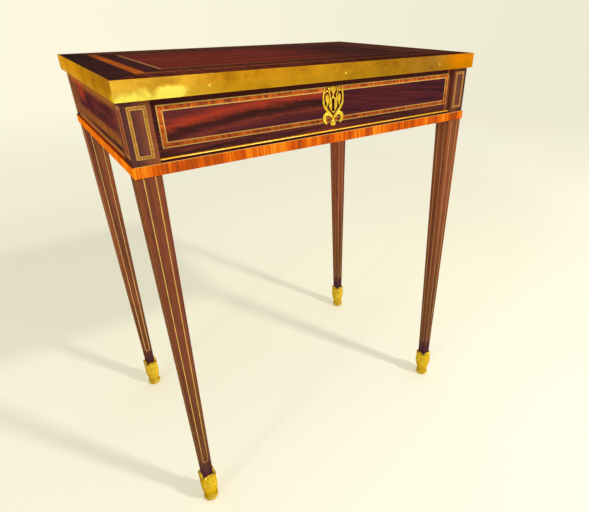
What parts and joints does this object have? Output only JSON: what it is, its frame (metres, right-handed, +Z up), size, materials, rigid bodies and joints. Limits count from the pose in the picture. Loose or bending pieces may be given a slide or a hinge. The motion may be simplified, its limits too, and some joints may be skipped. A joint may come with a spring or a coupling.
{
  "type": "side table",
  "caption": "Small rectangular side table on four square tapering legs in bronze shoes, with one locking frieze drawer and an inlaid, brass-rimmed top.",
  "frame": {"origin": "middle of the footprint, on the floor", "axes": "+Z up, the drawer faces -Y, the width runs along X"},
  "size_m": [0.59, 0.391, 0.74],
  "materials": {
    "mahogany": "French polished figured mahogany",
    "dark_mahogany": "French polished dark mahogany veneer",
    "tulipwood": "polished tulipwood crossbanding",
    "boxwood": "boxwood stringing",
    "oak": "plain unpolished oak",
    "brass": "old polished sheet brass",
    "gilt_bronze": "cast and chased gilt bronze",
    "steel": "filed steel"
  },
  "bodies": {
    "carcass": {"leg_front_left": "mahogany", "leg_front_right": "mahogany", "leg_back_left": "mahogany", "leg_back_right": "mahogany", "top_panel": "mahogany", "top_outer_band": "dark_mahogany", "top_inner_band": "dark_mahogany", "apron_left": "dark_mahogany", "apron_right": "dark_mahogany", "apron_back": "dark_mahogany", "top_crossband": "tulipwood", "base_band_front": "tulipwood", "base_band_back": "tulipwood", "base_band_left": "tulipwood", "base_band_right": "tulipwood", "apron_left_crossband": "tulipwood", "apron_right_crossband": "tulipwood", "apron_back_crossband": "tulipwood", "top_string": "boxwood", "apron_left_string": "boxwood", "apron_right_string": "boxwood", "apron_back_string": "boxwood", "post_banding_front_left_end": "boxwood", "post_banding_front_left_side": "boxwood", "post_banding_front_right_end": "boxwood", "post_banding_front_right_side": "boxwood", "post_banding_back_left_end": "boxwood", "post_banding_back_left_side": "boxwood", "post_banding_back_right_end": "boxwood", "post_banding_back_right_side": "boxwood", "top_core": "oak", "front_rail": "oak", "front_top_rail": "oak", "drawer_runner_left": "oak", "drawer_runner_right": "oak", "drawer_kicker_left": "oak", "drawer_kicker_right": "oak", "drawer_stop_left": "oak", "drawer_stop_right": "oak", "brass_rim_front": "brass", "brass_rim_back": "brass", "brass_rim_left": "brass", "brass_rim_right": "brass", "sabot_front_left": "gilt_bronze", "sabot_front_right": "gilt_bronze", "sabot_back_left": "gilt_bronze", "sabot_back_right": "gilt_bronze"},
    "drawer": {"drawer_front": "mahogany", "drawer_side_left": "oak", "drawer_side_right": "oak", "drawer_back": "oak", "drawer_bottom": "oak", "drawer_bead": "brass", "drawer_outer_string": "boxwood", "drawer_crossband": "tulipwood", "drawer_inner_string": "boxwood", "escutcheon": "gilt_bronze", "lock_case": "brass"},
    "bolt": {"lock_bolt": "steel"}
  },
  "joints": [
    {"name": "drawer_slide", "type": "slide", "parent": "carcass", "child": "drawer", "axis": [0, -1, 0], "range_m": [0, 0.24]},
    {"name": "bolt_slide", "type": "slide", "parent": "drawer", "child": "bolt", "axis": [0, 0, 1], "range_m": [0, 0.007]}
  ]
}
